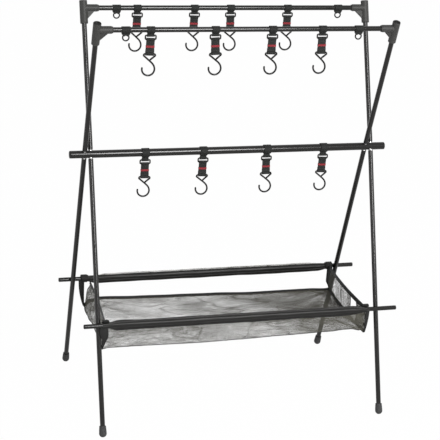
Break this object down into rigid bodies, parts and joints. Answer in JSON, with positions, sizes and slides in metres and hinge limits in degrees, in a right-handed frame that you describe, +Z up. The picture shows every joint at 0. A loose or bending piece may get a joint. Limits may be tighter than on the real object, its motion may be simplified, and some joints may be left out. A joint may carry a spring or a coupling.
{
  "type": "hanging camping shelf",
  "caption": "Camp kitchen rack of crossed tube frames, with hook hangers on its bars and a low mesh shelf.",
  "frame": {"origin": "on the ground, under the middle of the rack's bounding box", "axes": "+Z up, +Y to the back of the rack, +X to the right along the rails"},
  "size_m": [0.88, 0.4956, 1.071],
  "materials": {
    "black_tube": "satin black coating on round tube",
    "corner_plastic": "dark grey moulded plastic, fine satin grain",
    "foot_rubber": "matt dark grey rubber",
    "webbing_cloth": "black woven webbing with sewn seams",
    "black_wire": "glossy black coating on bent wire",
    "sleeve_cloth": "black nylon cloth",
    "shelf_mesh": "see-through knitted mesh with bound edges"
  },
  "bodies": {
    "rack": {"front_rail": "black_tube", "back_rail": "black_tube", "front_rail_left_leg": "black_tube", "front_rail_right_leg": "black_tube", "back_rail_left_leg": "black_tube", "back_rail_right_leg": "black_tube", "front_left_corner": "corner_plastic", "front_right_corner": "corner_plastic", "back_left_corner": "corner_plastic", "back_right_corner": "corner_plastic", "front_left_foot": "foot_rubber", "front_right_foot": "foot_rubber", "back_left_foot": "foot_rubber", "back_right_foot": "foot_rubber", "middle_bar": "black_tube", "front_shelf_bar": "black_tube", "back_shelf_bar": "black_tube", "front_shelf_sleeve": "sleeve_cloth", "back_shelf_sleeve": "sleeve_cloth", "mesh_shelf": "shelf_mesh"},
    "front_1_loop": {"front_1_loop": "webbing_cloth"},
    "front_1_strap": {"front_1_strap": "webbing_cloth"},
    "front_1_hook": {"front_1_hook": "black_wire"},
    "front_2_loop": {"front_2_loop": "webbing_cloth"},
    "front_2_strap": {"front_2_strap": "webbing_cloth"},
    "front_2_hook": {"front_2_hook": "black_wire"},
    "front_3_loop": {"front_3_loop": "webbing_cloth"},
    "front_3_strap": {"front_3_strap": "webbing_cloth"},
    "front_3_hook": {"front_3_hook": "black_wire"},
    "front_4_loop": {"front_4_loop": "webbing_cloth"},
    "front_4_strap": {"front_4_strap": "webbing_cloth"},
    "front_4_hook": {"front_4_hook": "black_wire"},
    "back_1_loop": {"back_1_loop": "webbing_cloth"},
    "back_1_strap": {"back_1_strap": "webbing_cloth"},
    "back_1_hook": {"back_1_hook": "black_wire"},
    "back_2_loop": {"back_2_loop": "webbing_cloth"},
    "back_2_strap": {"back_2_strap": "webbing_cloth"},
    "back_2_hook": {"back_2_hook": "black_wire"},
    "back_3_loop": {"back_3_loop": "webbing_cloth"},
    "back_3_strap": {"back_3_strap": "webbing_cloth"},
    "back_3_hook": {"back_3_hook": "black_wire"},
    "back_4_loop": {"back_4_loop": "webbing_cloth"},
    "back_4_strap": {"back_4_strap": "webbing_cloth"},
    "back_4_hook": {"back_4_hook": "black_wire"},
    "middle_1_loop": {"middle_1_loop": "webbing_cloth"},
    "middle_1_strap": {"middle_1_strap": "webbing_cloth"},
    "middle_1_hook": {"middle_1_hook": "black_wire"},
    "middle_2_loop": {"middle_2_loop": "webbing_cloth"},
    "middle_2_strap": {"middle_2_strap": "webbing_cloth"},
    "middle_2_hook": {"middle_2_hook": "black_wire"},
    "middle_3_loop": {"middle_3_loop": "webbing_cloth"},
    "middle_3_strap": {"middle_3_strap": "webbing_cloth"},
    "middle_3_hook": {"middle_3_hook": "black_wire"},
    "middle_4_loop": {"middle_4_loop": "webbing_cloth"},
    "middle_4_strap": {"middle_4_strap": "webbing_cloth"},
    "middle_4_hook": {"middle_4_hook": "black_wire"},
    "front_left_tie_ring": {"front_left_tie_ring": "webbing_cloth"},
    "front_right_tie_ring": {"front_right_tie_ring": "webbing_cloth"},
    "back_left_tie_ring": {"back_left_tie_ring": "webbing_cloth"},
    "back_right_tie_ring": {"back_right_tie_ring": "webbing_cloth"}
  },
  "joints": [
    {"name": "front_1_slide", "type": "slide", "parent": "rack", "child": "front_1_loop", "axis": [1, 0, 0], "range_m": [-0.028, 0.061]},
    {"name": "front_1_strap_swing", "type": "hinge", "parent": "front_1_loop", "child": "front_1_strap", "pos_m": [-0.26849, -0.131, 1.0263], "axis": [1, 0, 0], "range_deg": [-80, 80]},
    {"name": "front_1_hook_swing", "type": "hinge", "parent": "front_1_strap", "child": "front_1_hook", "pos_m": [-0.26849, -0.131, 0.9904], "axis": [1, 0, 0], "range_deg": [-85, 85]},
    {"name": "front_2_slide", "type": "slide", "parent": "rack", "child": "front_2_loop", "axis": [1, 0, 0], "range_m": [-0.061, 0.053]},
    {"name": "front_2_strap_swing", "type": "hinge", "parent": "front_2_loop", "child": "front_2_strap", "pos_m": [-0.10448, -0.131, 1.0263], "axis": [1, 0, 0], "range_deg": [-80, 80]},
    {"name": "front_2_hook_swing", "type": "hinge", "parent": "front_2_strap", "child": "front_2_hook", "pos_m": [-0.10448, -0.131, 0.9904], "axis": [1, 0, 0], "range_deg": [-85, 85]},
    {"name": "front_3_slide", "type": "slide", "parent": "rack", "child": "front_3_loop", "axis": [1, 0, 0], "range_m": [-0.053, 0.045]},
    {"name": "front_3_strap_swing", "type": "hinge", "parent": "front_3_loop", "child": "front_3_strap", "pos_m": [0.04351, -0.131, 1.0263], "axis": [1, 0, 0], "range_deg": [-80, 80]},
    {"name": "front_3_hook_swing", "type": "hinge", "parent": "front_3_strap", "child": "front_3_hook", "pos_m": [0.04351, -0.131, 0.9904], "axis": [1, 0, 0], "range_deg": [-85, 85]},
    {"name": "front_4_slide", "type": "slide", "parent": "rack", "child": "front_4_loop", "axis": [1, 0, 0], "range_m": [-0.045, 0.065]},
    {"name": "front_4_strap_swing", "type": "hinge", "parent": "front_4_loop", "child": "front_4_strap", "pos_m": [0.17551, -0.131, 1.0263], "axis": [1, 0, 0], "range_deg": [-80, 80]},
    {"name": "front_4_hook_swing", "type": "hinge", "parent": "front_4_strap", "child": "front_4_hook", "pos_m": [0.17551, -0.131, 0.9904], "axis": [1, 0, 0], "range_deg": [-85, 85]},
    {"name": "back_1_slide", "type": "slide", "parent": "rack", "child": "back_1_loop", "axis": [1, 0, 0], "range_m": [-0.021, 0.056]},
    {"name": "back_1_strap_swing", "type": "hinge", "parent": "back_1_loop", "child": "back_1_strap", "pos_m": [-0.2445, 0.131, 1.0263], "axis": [1, 0, 0], "range_deg": [-80, 80]},
    {"name": "back_1_hook_swing", "type": "hinge", "parent": "back_1_strap", "child": "back_1_hook", "pos_m": [-0.2445, 0.131, 0.9904], "axis": [1, 0, 0], "range_deg": [-85, 85]},
    {"name": "back_2_slide", "type": "slide", "parent": "rack", "child": "back_2_loop", "axis": [1, 0, 0], "range_m": [-0.056, 0.029]},
    {"name": "back_2_strap_swing", "type": "hinge", "parent": "back_2_loop", "child": "back_2_strap", "pos_m": [-0.09051, 0.131, 1.0263], "axis": [1, 0, 0], "range_deg": [-80, 80]},
    {"name": "back_2_hook_swing", "type": "hinge", "parent": "back_2_strap", "child": "back_2_hook", "pos_m": [-0.09051, 0.131, 0.9904], "axis": [1, 0, 0], "range_deg": [-85, 85]},
    {"name": "back_3_slide", "type": "slide", "parent": "rack", "child": "back_3_loop", "axis": [1, 0, 0], "range_m": [-0.029, 0.059]},
    {"name": "back_3_strap_swing", "type": "hinge", "parent": "back_3_loop", "child": "back_3_strap", "pos_m": [0.00848, 0.131, 1.0263], "axis": [1, 0, 0], "range_deg": [-80, 80]},
    {"name": "back_3_hook_swing", "type": "hinge", "parent": "back_3_strap", "child": "back_3_hook", "pos_m": [0.00848, 0.131, 0.9904], "axis": [1, 0, 0], "range_deg": [-85, 85]},
    {"name": "back_4_slide", "type": "slide", "parent": "rack", "child": "back_4_loop", "axis": [1, 0, 0], "range_m": [-0.059, 0.111]},
    {"name": "back_4_strap_swing", "type": "hinge", "parent": "back_4_loop", "child": "back_4_strap", "pos_m": [0.1675, 0.131, 1.0263], "axis": [1, 0, 0], "range_deg": [-80, 80]},
    {"name": "back_4_hook_swing", "type": "hinge", "parent": "back_4_strap", "child": "back_4_hook", "pos_m": [0.1675, 0.131, 0.9904], "axis": [1, 0, 0], "range_deg": [-85, 85]},
    {"name": "middle_1_slide", "type": "slide", "parent": "rack", "child": "middle_1_loop", "axis": [1, 0, 0], "range_m": [-0.112, 0.058]},
    {"name": "middle_1_strap_swing", "type": "hinge", "parent": "middle_1_loop", "child": "middle_1_strap", "pos_m": [-0.24152, 0, 0.668], "axis": [1, 0, 0], "range_deg": [-80, 80]},
    {"name": "middle_1_hook_swing", "type": "hinge", "parent": "middle_1_strap", "child": "middle_1_hook", "pos_m": [-0.24152, 0, 0.6321], "axis": [1, 0, 0], "range_deg": [-85, 85]},
    {"name": "middle_2_slide", "type": "slide", "parent": "rack", "child": "middle_2_loop", "axis": [1, 0, 0], "range_m": [-0.058, 0.067]},
    {"name": "middle_2_strap_swing", "type": "hinge", "parent": "middle_2_loop", "child": "middle_2_strap", "pos_m": [-0.08451, 0, 0.668], "axis": [1, 0, 0], "range_deg": [-80, 80]},
    {"name": "middle_2_hook_swing", "type": "hinge", "parent": "middle_2_strap", "child": "middle_2_hook", "pos_m": [-0.08451, 0, 0.6321], "axis": [1, 0, 0], "range_deg": [-85, 85]},
    {"name": "middle_3_slide", "type": "slide", "parent": "rack", "child": "middle_3_loop", "axis": [1, 0, 0], "range_m": [-0.067, 0.059]},
    {"name": "middle_3_strap_swing", "type": "hinge", "parent": "middle_3_loop", "child": "middle_3_strap", "pos_m": [0.09149, 0, 0.668], "axis": [1, 0, 0], "range_deg": [-80, 80]},
    {"name": "middle_3_hook_swing", "type": "hinge", "parent": "middle_3_strap", "child": "middle_3_hook", "pos_m": [0.09149, 0, 0.6321], "axis": [1, 0, 0], "range_deg": [-85, 85]},
    {"name": "middle_4_slide", "type": "slide", "parent": "rack", "child": "middle_4_loop", "axis": [1, 0, 0], "range_m": [-0.059, 0.09]},
    {"name": "middle_4_strap_swing", "type": "hinge", "parent": "middle_4_loop", "child": "middle_4_strap", "pos_m": [0.25152, 0, 0.668], "axis": [1, 0, 0], "range_deg": [-80, 80]},
    {"name": "middle_4_hook_swing", "type": "hinge", "parent": "middle_4_strap", "child": "middle_4_hook", "pos_m": [0.25152, 0, 0.6321], "axis": [1, 0, 0], "range_deg": [-85, 85]},
    {"name": "front_left_tie_ring_swing", "type": "hinge", "parent": "rack", "child": "front_left_tie_ring", "pos_m": [-0.33049, -0.131, 1.05], "axis": [1, 0, 0], "range_deg": [-75, 75]},
    {"name": "front_right_tie_ring_swing", "type": "hinge", "parent": "rack", "child": "front_right_tie_ring", "pos_m": [0.27249, -0.131, 1.05], "axis": [1, 0, 0], "range_deg": [-75, 75]},
    {"name": "back_left_tie_ring_swing", "type": "hinge", "parent": "rack", "child": "back_left_tie_ring", "pos_m": [-0.29949, 0.131, 1.05], "axis": [1, 0, 0], "range_deg": [-75, 75]},
    {"name": "back_right_tie_ring_swing", "type": "hinge", "parent": "rack", "child": "back_right_tie_ring", "pos_m": [0.3105, 0.131, 1.05], "axis": [1, 0, 0], "range_deg": [-75, 75]}
  ]
}
